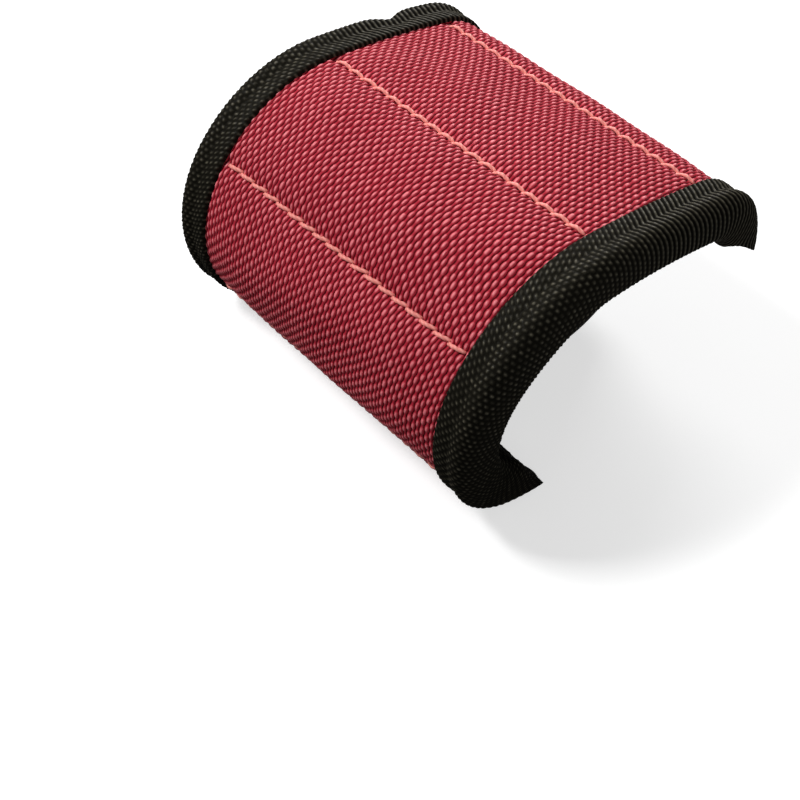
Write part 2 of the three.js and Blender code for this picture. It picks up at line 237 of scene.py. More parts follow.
def layer(along, across, height):
    """A point in the band's layers: as on the band's line, but squeezed towards the outer side near the
    two ends, and most at the corners, where nothing is sewn in."""
    from_end = np.clip(np.minimum(along, BAND_LENGTH - along) / END_SQUEEZE_REACH, 0, 1)
    to_corner = np.clip((np.abs(across) - CORNER_FROM) / (CORNER_TO - CORNER_FROM), 0, 1)
    at_end = END_SQUEEZE + (CORNER_SQUEEZE - END_SQUEEZE) * np.sin(to_corner * np.pi / 2) ** 2
    squeeze = at_end + (1 - at_end) * np.sin(from_end * np.pi / 2)
    return band(along, across, BINDING_TOP - (BINDING_TOP - height) * squeeze)


def fullness(along, across):
    """How full a pocket is: 1 over its middle, falling to 0 at its sewn lines and at the bindings."""
    pocket = np.clip(np.searchsorted(POCKET_STARTS, along, side="right") - 1, 0, POCKETS - 1)
    middle = (OPEN_FROM + OPEN_TO)[pocket] / 2
    half = (OPEN_TO - OPEN_FROM)[pocket] / 2
    t = np.clip(np.abs(along - middle) / half, 0, 1)
    v = np.clip(np.abs(across) / OPEN_HALF, 0, 1)
    return POCKET_FILLS[pocket] * (1 - t**FULL_POWER_ALONG) * (1 - v**FULL_POWER_ACROSS)


def flattened(wave, rise):
    """A wave that stays longer at its crests and troughs: the rise times the wave, times half of three
    less the wave's square. Arrays and shader sockets both go through it."""
    return rise * wave * (1.5 - 0.5 * wave * wave)


def weave_height(warp, weft):
    """Height of a plain weave at a place counted in threads: each thread is a rounded ridge that lies
    flat over one crossing and dips under the next, and the higher of the two threads there is what
    shows. The weft lies lower, so that the warp shows along most of its length."""
    warp_thread, weft_thread = np.round(warp), np.round(weft)
    warp_wave = np.cos(np.pi * (weft + warp_thread))
    weft_wave = np.cos(np.pi * (warp + weft_thread))
    warp_side = 2 * (warp - warp_thread) / WARP_FILL
    weft_side = 2 * (weft - weft_thread) / WEFT_FILL
    warp_top = flattened(warp_wave, THREAD_RISE)
    weft_top = flattened(weft_wave, -THREAD_RISE) - WEFT_SINK
    warp_top = warp_top + WARP_ROUND * np.clip(1 - warp_side**2, 0, 1)
    weft_top = weft_top + WEFT_ROUND * np.clip(1 - weft_side**2, 0, 1)
    return np.maximum(warp_top, weft_top)


def unit_normals(points):
    """Outward unit normals of a grid of points: the cross product of its two directions."""
    normals = np.cross(np.gradient(points, axis=0), np.gradient(points, axis=1))
    return normals / np.maximum(np.linalg.norm(normals, axis=-1, keepdims=True), 1e-12)


def new_piece(name, points, blocks, material, uv, normals=None):
    """A smooth mesh object from points and blocks of faces. A block has one row of corners for each
    face, uv has one pair for each point, and a normal of zero length leaves that point's shading to
    its faces."""
    mesh = bpy.data.meshes.new(name)
    corners = np.concatenate([block.ravel() for block in blocks]).astype(np.int32)
    counts = np.concatenate([np.full(len(block), block.shape[1]) for block in blocks])
    mesh.vertices.add(len(points))
    mesh.vertices.foreach_set("co", points.astype(np.float32).ravel())
    mesh.loops.add(len(corners))
    mesh.polygons.add(len(counts))
    mesh.polygons.foreach_set("loop_start", (np.cumsum(counts) - counts).astype(np.int32))
    mesh.polygons.foreach_set("vertices", corners)
    mesh.polygons.foreach_set("use_smooth", np.ones(len(counts), dtype=bool))
    mesh.update(calc_edges=True)
    thread_map = mesh.uv_layers.new(name="threads")
    thread_map.data.foreach_set("uv", uv[corners].astype(np.float32).ravel())
    if normals is not None:
        mesh.normals_split_custom_set_from_vertices(normals)
    mesh.materials.append(material)
    piece = bpy.data.objects.new(name, mesh)
    bpy.context.scene.collection.objects.link(piece)
    return piece


def cloth_piece(name, face, back, material, uv, normals=None):
    """A closed piece of cloth from two grids with as many rows: its face, and its back, which may have
    fewer columns. uv has one pair for each point of the face; the back repeats the pairs of the
    points above it."""
    rows, columns = face.shape[:2]
    back_columns = back.shape[1]
    step = (columns - 1) // (back_columns - 1)
    top = np.arange(rows * columns).reshape(rows, columns)
    low = rows * columns + np.arange(rows * back_columns).reshape(rows, back_columns)
    fine = np.arange(back_columns - 1)[:, None] * step + np.arange(step + 1)
    blocks = [
        np.stack((top[:-1, :-1], top[1:, :-1], top[1:, 1:], top[:-1, 1:]), axis=-1).reshape(-1, 4),
        np.stack((low[:-1, :-1], low[:-1, 1:], low[1:, 1:], low[1:, :-1]), axis=-1).reshape(-1, 4),
        np.stack((top[:-1, 0], low[:-1, 0], low[1:, 0], top[1:, 0]), axis=-1),
        np.stack((top[1:, -1], low[1:, -1], low[:-1, -1], top[:-1, -1]), axis=-1),
        np.concatenate((top[0][fine], low[0, 1:, None], low[0, :-1, None]), axis=1),
        np.concatenate((low[-1, :-1, None], low[-1, 1:, None], top[-1][fine[:, ::-1]]), axis=1),
    ]
    points = np.concatenate((face.reshape(-1, 3), back.reshape(-1, 3)))
    all_uv = np.concatenate((uv.reshape(-1, 2), uv[:, ::step].reshape(-1, 2)))
    all_normals = None
    if normals is not None:
        all_normals = np.concatenate((normals.reshape(-1, 3), np.zeros((back.size // 3, 3))))
    return new_piece(name, points, blocks, material, all_uv, all_normals)


class Wire:
    """A shader socket in an expression: each operator on it adds one Math node to its material."""

    def __init__(self, tree, socket):
        self.tree = tree
        self.socket = socket

    @classmethod
    def node(cls, tree, kind, settings, inputs, output=0):
        """A node of one type: its settings first, then the values or links of its sockets."""
        made = tree.nodes.new(kind)
        for key, value in settings.items():
            setattr(made, key, value)
        for key, value in inputs.items():
            if isinstance(value, Wire):
                tree.links.new(value.socket, made.inputs[key])
            else:
                made.inputs[key].default_value = value
        return cls(tree, made.outputs[output])

    def math(self, operation, *values):
        """One Math node on some values or links."""
        return Wire.node(self.tree, "ShaderNodeMath", {"operation": operation}, dict(enumerate(values)))

    def __add__(self, other):
        return self.math("ADD", self, other)

    def __radd__(self, other):
        return self.math("ADD", other, self)

    def __sub__(self, other):
        return self.math("SUBTRACT", self, other)

    def __rsub__(self, other):
        return self.math("SUBTRACT", other, self)

    def __mul__(self, other):
        return self.math("MULTIPLY", self, other)

    def __rmul__(self, other):
        return self.math("MULTIPLY", other, self)

    def __truediv__(self, other):
        return self.math("DIVIDE", self, other)

    def __gt__(self, other):
        return self.math("GREATER_THAN", self, other)

    def over(self, other):
        """The larger of the two."""
        return self.math("MAXIMUM", self, other)

    def under(self, other):
        """The smaller of the two."""
        return self.math("MINIMUM", self, other)

    def clamped(self):
        """The value, held from 0 to 1."""
        return self.over(0.0).under(1.0)

    def size(self):
        """The value without its sign."""
        return self.math("ABSOLUTE", self)

    def wave(self):
        """The value's cosine."""
        return self.math("COSINE", self)

    def nearest(self):
        """The nearest whole number."""
        return self.math("ROUND", self)


def new_finish(name, roughness, sheen=0.0, specular=0.5):
    """A material, its main shader, with one roughness, sheen and specular level all over, and the two
    coordinates of its piece's own thread map."""
    material = bpy.data.materials.new(name)
    material.use_nodes = True
    tree = material.node_tree
    shader = tree.nodes["Principled BSDF"]
    shader.inputs["Roughness"].default_value = roughness
    shader.inputs["Sheen Weight"].default_value = sheen
    shader.inputs["Specular IOR Level"].default_value = specular
    threads = Wire.node(tree, "ShaderNodeUVMap", {"uv_map": "threads"}, {})
    first = Wire.node(tree, "ShaderNodeSeparateXYZ", {}, {0: threads}, output=0)
    second = Wire.node(tree, "ShaderNodeSeparateXYZ", {}, {0: threads}, output=1)
    return material, shader, first, second


def surface_place(first, second):
    """A vector of two coordinates."""
    return Wire.node(first.tree, "ShaderNodeCombineXYZ", {}, {0: first, 1: second})


def mottle(first, second, scale=1.0, detail=3.0):
    """Soft noise from 0 to 1 over two coordinates."""
    inputs = {"Vector": surface_place(first, second), "Scale": scale, "Detail": detail}
    return Wire.node(first.tree, "ShaderNodeTexNoise", {}, inputs)


def mixed(factor, first, second):
    """A colour between two colours: the first at a factor of 0, the second at 1."""
    inputs = {0: factor, 6: first, 7: second}
    return Wire.node(factor.tree, "ShaderNodeMix", {"data_type": "RGBA"}, inputs, output=2)


def feed(shader, colour, roughness, height=None, relief=0.0, coat=None):
    """Links a colour, a roughness, a height and a coat to the shader. The height goes through a Bump
    node, and relief is how far a height of 1 stands up."""
    tree = colour.tree
    tree.links.new(colour.socket, shader.inputs["Base Color"])
    tree.links.new(roughness.socket, shader.inputs["Roughness"])
    if height is not None:
        bump = Wire.node(tree, "ShaderNodeBump", {}, {"Height": height, "Distance": relief, "Strength": 1.0})
        tree.links.new(bump.socket, shader.inputs["Normal"])
    if coat is not None:
        tree.links.new(coat.socket, shader.inputs["Coat Weight"])


WARP_COLOUR = (0.46, 0.022, 0.042, 1)
# Painted highlight: the lighter warp colour that each warp float goes to along its crest.
WARP_PAINTED_HIGHLIGHT = (0.88, 0.22, 0.25, 1)
# Painted shade: the weft is coloured darker than the warp because it lies lower.
WEFT_PAINTED_SHADE = (0.22, 0.0015, 0.008, 1)
# Painted shade: the near-black colour deep in the gaps between the threads.
COVER_GAP_SHADE = (0.06, 0.0002, 0.0015, 1)
COVER_ROUGHNESS = 0.7
COVER_CREST_POLISH = 0.3
COVER_STRAND_ROUGHNESS = 0.16
COVER_STRAND_RELIEF = 0.10 * MM
COVER_SHINE = 0.6
COVER_SHINE_ROUGHNESS = 0.30
CREST_FROM = 0.15
CREST_SPAN = 1.35
GAP_SHADE_FADE = 2.8
DYE_STEPS = (0.31, 0.27)
DYE_SCALE = 3.0
WEAR_SCALE = 0.09
STRANDS_ACROSS = 9.0
STRANDS_ALONG = 1.3
TONE_OF_HIGHLIGHT_STREAK = 1.5
TONE_OF_DYE = 1.1
TONE_OF_WEAR = 0.5
TONE_OF_STRAND = 0.7
TONE_FLOOR = 1.4


def cover_finish():
    """Bright warp over darker weft, by which is on top, with strands along each thread. The weft's darker
    colour is painted shade where it lies lower, and the gaps between the threads are painted near black as
    shade. A painted highlight runs along the crest of each warp float, and the warp's tone goes up with it
    and with dye, wear and strands."""
    material, shader, warp, weft = new_finish("cover_weave", 0.5, specular=0.1)
    shader.inputs["Coat Roughness"].default_value = COVER_SHINE_ROUGHNESS
    warp_thread, weft_thread = warp.nearest(), weft.nearest()
    warp_wave = (np.pi * (weft + warp_thread)).wave()
    weft_wave = (np.pi * (warp + weft_thread)).wave()
    warp_side = (warp - warp_thread) * (2 / WARP_FILL)
    weft_side = (weft - weft_thread) * (2 / WEFT_FILL)
    rise = THREAD_RISE / WARP_ROUND
    core = (1 - warp_side * warp_side).over(0.0)
    warp_top = flattened(warp_wave, rise) + core
    weft_top = flattened(weft_wave, -rise) - WEFT_SINK / WARP_ROUND
    weft_top = weft_top + (1 - weft_side * weft_side).over(0.0) * (WEFT_ROUND / WARP_ROUND)
    warp_shows = warp_top > weft_top
    crest = ((warp_top.over(weft_top) - CREST_FROM) / CREST_SPAN).clamped()
    dye = mottle(warp_thread * DYE_STEPS[0], weft_thread * DYE_STEPS[1], DYE_SCALE, detail=2.0)
    tone_drift = mottle(warp, weft, WEAR_SCALE, detail=4.0)
    strand_warp = mottle(warp * STRANDS_ACROSS, weft * STRANDS_ALONG)
    strand_weft = mottle(warp * STRANDS_ALONG, weft * STRANDS_ACROSS)
    strand = strand_weft + warp_shows * (strand_warp - strand_weft)
    # Painted highlight: a narrow streak along the top of each warp float, which also sets where the coat
    # shines.
    highlight_streak = core * core * core * (warp_wave * 0.5 + 0.5) * warp_shows
    # The warp's tone is this painted highlight plus dye, wear and strands.
    tone = highlight_streak * TONE_OF_HIGHLIGHT_STREAK + dye * TONE_OF_DYE + tone_drift * TONE_OF_WEAR + strand * TONE_OF_STRAND
    tone = (tone - TONE_FLOOR).clamped()
    # Where the weft shows it takes the painted shade colour, and the warp goes from its own colour to the
    # painted highlight.
    thread = mixed(warp_shows, WEFT_PAINTED_SHADE, mixed(tone, WARP_COLOUR, WARP_PAINTED_HIGHLIGHT))
    # Painted shade: the colour goes to near black where the weave lies deepest.
    colour = mixed((crest * GAP_SHADE_FADE).under(1.0), COVER_GAP_SHADE, thread)
    roughness = COVER_ROUGHNESS - crest * COVER_CREST_POLISH + strand * COVER_STRAND_ROUGHNESS
    feed(shader, colour, roughness, strand, COVER_STRAND_RELIEF, coat=highlight_streak * strand * COVER_SHINE)
    return material


def bend_over_seam(piece, seam):
    """Bakes the piece's place into its mesh. The band's points a little before and after the sewn line are
    worked out, but nothing uses them."""
    start = band(SEAMS[seam] - FLEX_REACH, 0.0, 0.0)
    end = band(SEAMS[seam] + FLEX_REACH, 0.0, 0.0)
    f"pocket_{seam + 1}"
    f"pocket_{seam + 2}"
    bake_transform(piece)


def seam_lengths(along):
    """Slices of a grid's rows, cut at the middle of the three inner pockets: one slice over each sewn
    line."""
    rows = np.searchsorted(along, CUTS)
    firsts = [0, *rows]
    lasts = [*rows, len(along) - 1]
    return [slice(first, last + 1) for first, last in zip(firsts, lasts)]


def slow_wave(along, across, wave):
    """A sine over the cover: wave holds its turn for each metre along, its turn for each metre across,
    and its start, in radians."""
    return np.sin(along * wave[0] + across * wave[1] + wave[2])


def cover_level(along, across):
    """Height of the cover's face without its threads: the pocket's swell, with two slow waves of slack,
    pinched in at the sewn lines and most between the stitches."""
    from_seam = np.min(np.abs(along[..., None] - SEAMS[:-1]), axis=-1)
    pucker = 1 + STITCH_PUCKER * np.cos(2 * np.pi * across / STITCH_PITCH)
    pinch = SEAM_PINCH * pucker * np.exp(-((from_seam / SEAM_PINCH_REACH) ** 2))
    slack = slow_wave(along, across, DRAPE_WAVES[0]) + slow_wave(along, across, DRAPE_WAVES[1])
    full = fullness(along, across)
    return COVER_SWELL * full + DRAPE * slack * full - pinch


cover_weave = cover_finish()
cover_along = np.arange(COVER_INSET, BAND_LENGTH - COVER_INSET, WEFT_PITCH / SAMPLES_PER_WEFT)[:, None]
cover_across = np.linspace(-COVER_HALF, COVER_HALF, COVER_COLUMNS + 1)[None, :]
cover_back_across = np.linspace(-COVER_HALF, COVER_HALF, COVER_BACK_COLUMNS + 1)[None, :]
cover_warps = cover_across / WARP_PITCH + DRIFT * slow_wave(cover_along, cover_across, WARP_DRIFT_WAVE)
cover_wefts = cover_along / WEFT_PITCH + DRIFT * slow_wave(cover_along, cover_across, WEFT_DRIFT_WAVE)
cover_warps = cover_warps + UNEVEN * np.sin(WARP_UNEVEN_TURN * cover_warps)
cover_wefts = cover_wefts + UNEVEN * np.sin(WEFT_UNEVEN_TURN * cover_wefts)
cover_threads = weave_height(cover_warps, cover_wefts)
cover_face = layer(cover_along, cover_across, cover_level(cover_along, cover_across) + cover_threads)
cover_back_level = cover_level(cover_along, cover_back_across) - COVER_THICKNESS
cover_back = layer(cover_along, cover_back_across, cover_back_level)
cover_uv = np.stack((cover_warps, cover_wefts), axis=-1)
cover_normals = unit_normals(cover_face)
for seam, rows in enumerate(seam_lengths(cover_along[:, 0])):
    cover = cloth_piece(f"cover_over_seam_{seam + 1}", cover_face[rows], cover_back[rows], cover_weave,
                        cover_uv[rows], cover_normals[rows])
    bend_over_seam(cover, seam)
    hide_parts(f"cover_{seam + 1}", f"cover_{seam + 2}")
    f"padding_{seam + 1}"
    f"padding_{seam + 2}"

# The sewing of the pockets: salmon-pink thread in long lockstitches, in a straight row across the band at
# each of the four sewn lines, from binding to binding.
STITCH_LENGTH = 4.6 * MM
STITCH_HALF_WIDTH = 0.42 * MM
STITCH_HALF_HEIGHT = 0.32 * MM
STITCH_LIFT = 0.5 * MM
STITCH_LEVEL = 0.55 * MM
STITCH_SLANT = 0.75 * MM
STITCH_TAPER = 6
STITCH_TIP = 0.004
STITCH_DIVE = 0.55
STITCH_LEAN_SPREAD = 0.3
STITCH_LENGTH_SPREAD = 0.03
STITCH_SEED = 7
PLY_SWELL = 0.12
PLY_TURNS = 3.5
STITCH_STEPS = 14
STITCH_SIDES = 8
SEWING_COLOUR = (1.0, 0.36, 0.31, 1)
# Painted shade: the pink thread's colour in the grooves between its plies.
SEWING_PLY_SHADE = (0.92, 0.25, 0.21, 1)
SEWING_RELIEF = 0.05 * MM
FIBRES = (14.0, 6.0)


def stitch_row(count, pitch):
    """The middles of evenly spaced stitches, measured from the middle of their row."""
    return (np.arange(count) - (count - 1) / 2)[:, None, None] * pitch


def stitch_strands(count, length, slant, steps, sides):
    """Stitches along x, as offsets (along the stitch, to its side, upwards): each dives in at both ends,
    leans a little across the row, and is a two-ply strand, so its section swells twice a turn and the
    swell winds."""
    t = np.linspace(0, 1, steps + 1)[None, :, None]
    turn = np.linspace(0, 2 * np.pi, sides, endpoint=False)[None, None, :]
    vary = np.random.default_rng(STITCH_SEED).normal(0, 1, (count, 1, 1))
    taper = np.sqrt(np.clip(1 - np.abs(2 * t - 1) ** STITCH_TAPER, STITCH_TIP, 1))
    ply = 1 + PLY_SWELL * np.cos(2 * turn - 2 * np.pi * PLY_TURNS * t)
    lean = slant * (t - 0.5) * (1 + STITCH_LEAN_SPREAD * vary)
    side = lean + STITCH_HALF_WIDTH * taper * ply * np.cos(turn)
    lift = STITCH_LIFT * (np.sin(np.pi * t) ** 0.5 - STITCH_DIVE)
    up = lift + STITCH_HALF_HEIGHT * taper * ply * np.sin(turn)
    forward = length * (t - 0.5) * (1 + STITCH_LENGTH_SPREAD * vary)
    return np.broadcast_arrays(forward, side, up)


def strand_piece(name, points, material):
    """Closed strands from points counted by strand, step and side: tubes with an end face at each end."""
    count, steps, sides = points.shape[:3]
    index = np.arange(count * steps * sides).reshape(count, steps, sides)
    beside = np.roll(index, -1, axis=2)
    walls = np.stack((index[:, :-1], beside[:, :-1], beside[:, 1:], index[:, 1:]), axis=-1).reshape(-1, 4)
    u, v = np.meshgrid(np.arange(sides) / sides, np.arange(steps) / (steps - 1))
    uv = np.tile(np.stack((u, v), axis=-1).reshape(-1, 2), (count, 1))
    blocks = [walls, index[:, 0, ::-1], index[:, -1]]
    return new_piece(name, points.reshape(-1, 3), blocks, material, uv)


def sewing_finish(name, light, dark):
    """Thread with a soft shine, painted darker as shade in the grooves where its plies meet, and darker at
    random along its fibres.
    """
    material, shader, around, along = new_finish(name, 0.45, sheen=0.05)
    ply = (around * (4 * np.pi) - along * (2 * np.pi * PLY_TURNS)).wave() * 0.5 + 0.5
    fibre = mottle(around * FIBRES[0], along * FIBRES[1])
    # Painted shade: the dark colour lies in the grooves between the plies.
    colour = mixed((ply * 0.7 + fibre * 0.6).under(1.0), dark, light)
    feed(shader, colour, 0.62 - fibre * 0.2, ply + fibre * 0.5, SEWING_RELIEF)
    return material


seam_sewing = sewing_finish("seam_sewing", SEWING_COLOUR, SEWING_PLY_SHADE)
stitch_count = int(2 * OPEN_HALF / STITCH_PITCH)
stitch_middles = stitch_row(stitch_count, STITCH_PITCH)
for seam in range(POCKETS - 1):
    forward, side, up = stitch_strands(stitch_count, STITCH_LENGTH, STITCH_SLANT, STITCH_STEPS, STITCH_SIDES)
    level = cover_level(np.full_like(side, SEAMS[seam]), stitch_middles + forward) + STITCH_LEVEL
    strands = band(SEAMS[seam] - side, stitch_middles + forward, level + up)
    sewing = strand_piece(f"sewing_seam_{seam + 1}", strands, seam_sewing)
    bend_over_seam(sewing, seam)

# The binding: black ribbed tape folded over each long edge and sewn down through all the layers. The tape
# keeps its length round the curl, so its ribs fan out on the side of the band.
BINDING_BOTTOM = -9.0 * MM
BINDING_FOLD = 3.4 * MM
BINDING_SQUARENESS = 2.7
FOLD_POINTS = 181
TAPE_END_MOST = 0.999
BINDING_BULGE = 0.35 * MM
BINDING_THICKNESS = 1.0 * MM
BINDING_LIP = 0.8 * MM
BINDING_LIP_DROP = 0.9 * MM
GROOVE_FROM_LIP = 4.0 * MM
GROOVE_DEPTH = 0.3 * MM
GROOVE_REACH = 1.1 * MM
RIB_PITCH = 0.86 * MM
RIB_STRETCH = 5.3
RIB_HEIGHT = 0.18 * MM
RIB_FLAT_REACH = 14 * MM
RIB_FLAT = 0.3
RIB_LEAN = 0.5
RIB_FAN = 0.4
RIB_FAN_REACH = 12 * MM
RIB_BREAK = 1.25 * MM
RIB_BREAK_DEPTH = 0.9
PLAIN_RIBS_FROM = 80
PLAIN_RIBS_OVER = 16
PLAIN_RIBS_SHARE = 0.75
PINCH_AT = 109.5 * MM
PINCH_REACH = 3.4 * MM
PINCH_DEPTH = 1.8 * MM
SAG_AT = 66 * MM
SAG_REACH = 25 * MM
SAG_DEPTH = 3.55 * MM
BINDING_STEP = 0.14 * MM
BINDING_COLUMNS = 120
BINDING_BACK_COLUMNS = 12
TAPE_DARK = (0.0010, 0.0009, 0.0006, 1)
# Painted highlight: the colour that the ribs' crests and flecks go to with their tone.
TAPE_PAINTED_HIGHLIGHT = (0.105, 0.094, 0.066, 1)
TAPE_RELIEF = 0.16 * MM
TAPE_SHINE = 0.3
TAPE_SHINE_ROUGHNESS = 0.38
TAPE_GRAIN = (3.0, 4.0)
TAPE_FLECKS = (0.62, 0.8)
FLECK_FROM = 0.40
FLECK_GAIN = 5.0
PLAIN_SPARKLE = 0.9
TONE_OF_SPARKLE = 0.75
TONE_OF_RIB = 0.20
TONE_OF_GROUND = 0.08
# Painted light: the tape's tone is scaled by a factor that starts low at the left end and grows with each rib
# towards the right end.
TAPE_PAINTED_LIGHT_AT_LEFT = 0.28
TAPE_PAINTED_LIGHT_PER_RIB = 0.011
TAPE_PAINTED_LIGHT_MOST = 1.1


def folded_tape(share, reach, inset):
    """The tape's section from the outer lip, over the fold, to the inner lip: two straight legs joined
    by half of a squarish ellipse. Returns, at each share of its length, the distance from the fold's
    edge, the height, and the length so far. inset is 0 for the tape's face and its thickness for its
    back."""
    half_height = (BINDING_TOP - BINDING_BOTTOM) / 2
    turn = np.linspace(0, np.pi, FOLD_POINTS)
    power = 2 / BINDING_SQUARENESS
    out = np.abs(np.sin(turn)) ** power
    up = np.sign(np.cos(turn)) * np.abs(np.cos(turn)) ** power
    distance = np.concatenate(([reach], BINDING_FOLD - (BINDING_FOLD - inset) * out, [reach]))
    height = np.concatenate(([1.0], up, [-1.0])) * (half_height - inset)
    length = np.concatenate(([0.0], np.cumsum(np.hypot(np.diff(distance), np.diff(height)))))
    at = share * length[-1]
    middle = (BINDING_TOP + BINDING_BOTTOM) / 2
    return np.interp(at, length, distance), middle + np.interp(at, length, height), at


def tape_relief(at, ribs, from_end):
    """Height of the tape's surface over its plain section: a rounded lip at each edge, a sewn groove
    beside it, a bulge up to the fold, and ribs, each broken into short swells that stand between
    those of the next rib. The ribs are pressed flat where the tape is sewn down at its ends."""
    to_lip = np.minimum(at, np.max(at) - at)
    lip = BINDING_LIP_DROP * (1 - np.sqrt(1 - np.clip(1 - to_lip / BINDING_LIP, 0, 1) ** 2))
    groove = GROOVE_DEPTH * np.exp(-(((to_lip - GROOVE_FROM_LIP) / GROOVE_REACH) ** 2))
    bulge = BINDING_BULGE * np.sin(np.pi * np.clip((to_lip - GROOVE_FROM_LIP) / GROOVE_FROM_LIP, 0, 1))
    crest = 0.5 + 0.5 * np.cos(2 * np.pi * ribs)
    plain = PLAIN_RIBS_SHARE * np.clip((ribs - PLAIN_RIBS_FROM) / PLAIN_RIBS_OVER, 0, 1)
    swell = 0.5 + 0.5 * np.cos(2 * np.pi * at / RIB_BREAK + np.pi * np.round(ribs))
    rib = RIB_HEIGHT * (crest * (1 - RIB_BREAK_DEPTH * (1 - plain) * swell) - 1)
    stands = RIB_FLAT + (1 - RIB_FLAT) * np.clip(from_end / RIB_FLAT_REACH, 0, 1)
    return bulge - groove - lip + rib * stands


def tape_finish():
    """Black tape: brown-black between the ribs, with fine threads across every rib. The swells are painted
    greyer as highlight, painted flecks of shine lie on them, and on the plain ribs at the right the painted
    shine is even. All of this painted light is scaled by a factor that grows along the band, so it is weakest
    at the left end."""
    material, shader, ribs, width = new_finish("binding_tape", 0.5, specular=0.02)
    shader.inputs["Coat Roughness"].default_value = TAPE_SHINE_ROUGHNESS
    crest = (ribs * (2 * np.pi)).wave() * 0.5 + 0.5
    swell = (width * (2 * np.pi) + ribs.nearest() * np.pi).wave() * -0.5 + 0.5
    grain = mottle(ribs * TAPE_GRAIN[0], width * TAPE_GRAIN[1])
    fleck = mottle(ribs * TAPE_FLECKS[0], width * TAPE_FLECKS[1])
    plain = ((ribs - PLAIN_RIBS_FROM) / PLAIN_RIBS_OVER).clamped() * PLAIN_RIBS_SHARE
    knob = crest * (swell + plain * (1 - swell))
    # Painted light: the factor grows rib by rib along the band, so the left end is darker and the right end
    # lighter.
    tone_drift = (ribs * TAPE_PAINTED_LIGHT_PER_RIB + TAPE_PAINTED_LIGHT_AT_LEFT).under(TAPE_PAINTED_LIGHT_MOST)
    # Painted highlight: flecks of shine on the swells, and an even shine on the plain ribs.
    sparkle = ((fleck - FLECK_FROM) * FLECK_GAIN).over(0.0) * (1 - plain) + plain * PLAIN_SPARKLE
    line = knob * (1 - plain * (1 - crest))
    # The tone is painted highlight on the ribs' lines and flecks, over an even lift of the ground.
    tone = line * line * sparkle * TONE_OF_SPARKLE + line * TONE_OF_RIB + TONE_OF_GROUND * (1 - plain)
    # The painted highlights are scaled by the painted light along the band.
    tone = (tone * tone_drift).clamped()
    colour = mixed(tone, TAPE_DARK, TAPE_PAINTED_HIGHLIGHT)
    feed(shader, colour, 0.85 - tone * 0.4, knob + grain * 0.5, TAPE_RELIEF, coat=tone * TAPE_SHINE)
    return material


def tape_end(along):
    """How deep the tape's section is: 1 along the band, closing over its two ends like the fold itself."""
    from_end = np.minimum(along, BAND_LENGTH - along)
    past = np.clip(1 - from_end / BINDING_FOLD, 0, TAPE_END_MOST)
    return (1 - past**BINDING_SQUARENESS) ** (1 / BINDING_SQUARENESS)


def tape_ribs(along, at):
    """Ribs counted along the tape, which is sewn on tighter towards the right end, so that its ribs lie
    further apart there. They lean between lip and groove. At the fold the tape turns in towards the
    wrist, where the curl is shorter, and it doesn't shrink as much, so its ribs fan out from the
    second sewn line."""
    turns = np.cumsum(POCKET_CURLS)
    turned = np.interp(along, (0, *SEAMS), (0, *turns)) - turns[1]
    fan = RIB_FAN * turned * np.clip(at - (BINDING_REACH - BINDING_FOLD), 0, RIB_FAN_REACH)
    place = along - fan + RIB_LEAN * np.minimum(at, GROOVE_FROM_LIP)
    return np.log1p(RIB_STRETCH * place) / (RIB_STRETCH * RIB_PITCH)


def side_binding(side):
    """Face, back and thread places of the tape along one long edge: side is -1 near and 1 far. The fold
    hangs lower inside the sharpest bend, and the far tape is pulled in at one place, where it was
    sewn down over a fold."""
    along = np.arange(0, BAND_LENGTH, BINDING_STEP)[:, None]
    half = (BINDING_TOP - BINDING_BOTTOM) / 2
    pinch = PINCH_DEPTH * max(side, 0) * np.exp(-(((along - PINCH_AT) / PINCH_REACH) ** 2))
    sag = SAG_DEPTH * np.exp(-(((along - SAG_AT) / SAG_REACH) ** 2))
    grids = []
    for columns, inset in ((BINDING_COLUMNS, 0), (BINDING_BACK_COLUMNS, BINDING_THICKNESS)):
        share = np.linspace(0, 1, columns + 1)[None, ::side]
        distance, height, at = folded_tape(share, BINDING_REACH, inset)
        to_fold = 1 - distance / BINDING_REACH
        depth = (BINDING_TOP - height) / (BINDING_TOP - BINDING_BOTTOM)
        hang = sag * depth * np.sqrt(np.maximum(to_fold, 0))
        sunk = half + (BINDING_TOP - height + hang - half) * tape_end(along) + pinch / 2 * to_fold**2
        across = side * (BAND_WIDTH / 2 - distance - pinch * to_fold)
        grids.append((layer(along, across, BINDING_TOP - sunk), at))
    (face, at), (back, _) = grids
    ribs = tape_ribs(along, at)
    relief = tape_relief(at, ribs, np.minimum(along, BAND_LENGTH - along))
    face = face + unit_normals(face) * relief[..., None]
    return along[:, 0], face, back, np.stack((ribs, np.broadcast_to(at / RIB_BREAK, ribs.shape)), axis=-1)


binding_tape = tape_finish()
for edge, side in (("near", -1), ("far", 1)):
    tape_along, tape_face, tape_back, tape_uv = side_binding(side)
    tape_normals = unit_normals(tape_face)
    for seam, rows in enumerate(seam_lengths(tape_along)):
        tape = cloth_piece(f"{edge}_binding_over_seam_{seam + 1}", tape_face[rows], tape_back[rows],
                           binding_tape, tape_uv[rows], tape_normals[rows])
        bend_over_seam(tape, seam)
        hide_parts(f"{edge}_binding_{seam + 1}", f"{edge}_binding_{seam + 2}")
        f"cover_over_seam_{seam + 1}"
        f"lining_over_seam_{seam + 1}"

# The sewing of the bindings: black thread in short stitches, sunk in the groove of the tape on both faces
# of the band, along both long edges up to the end bindings.
EDGE_STITCH_PITCH = 2.9 * MM
EDGE_STITCH_LENGTH = 2.4 * MM
EDGE_STITCH_SLANT = 0.3 * MM
EDGE_STITCH_SINK = 0.7 * MM
EDGE_STITCH_GRID = (6, 6)
EDGE_THREAD = (0.005, 0.005, 0.004, 1)
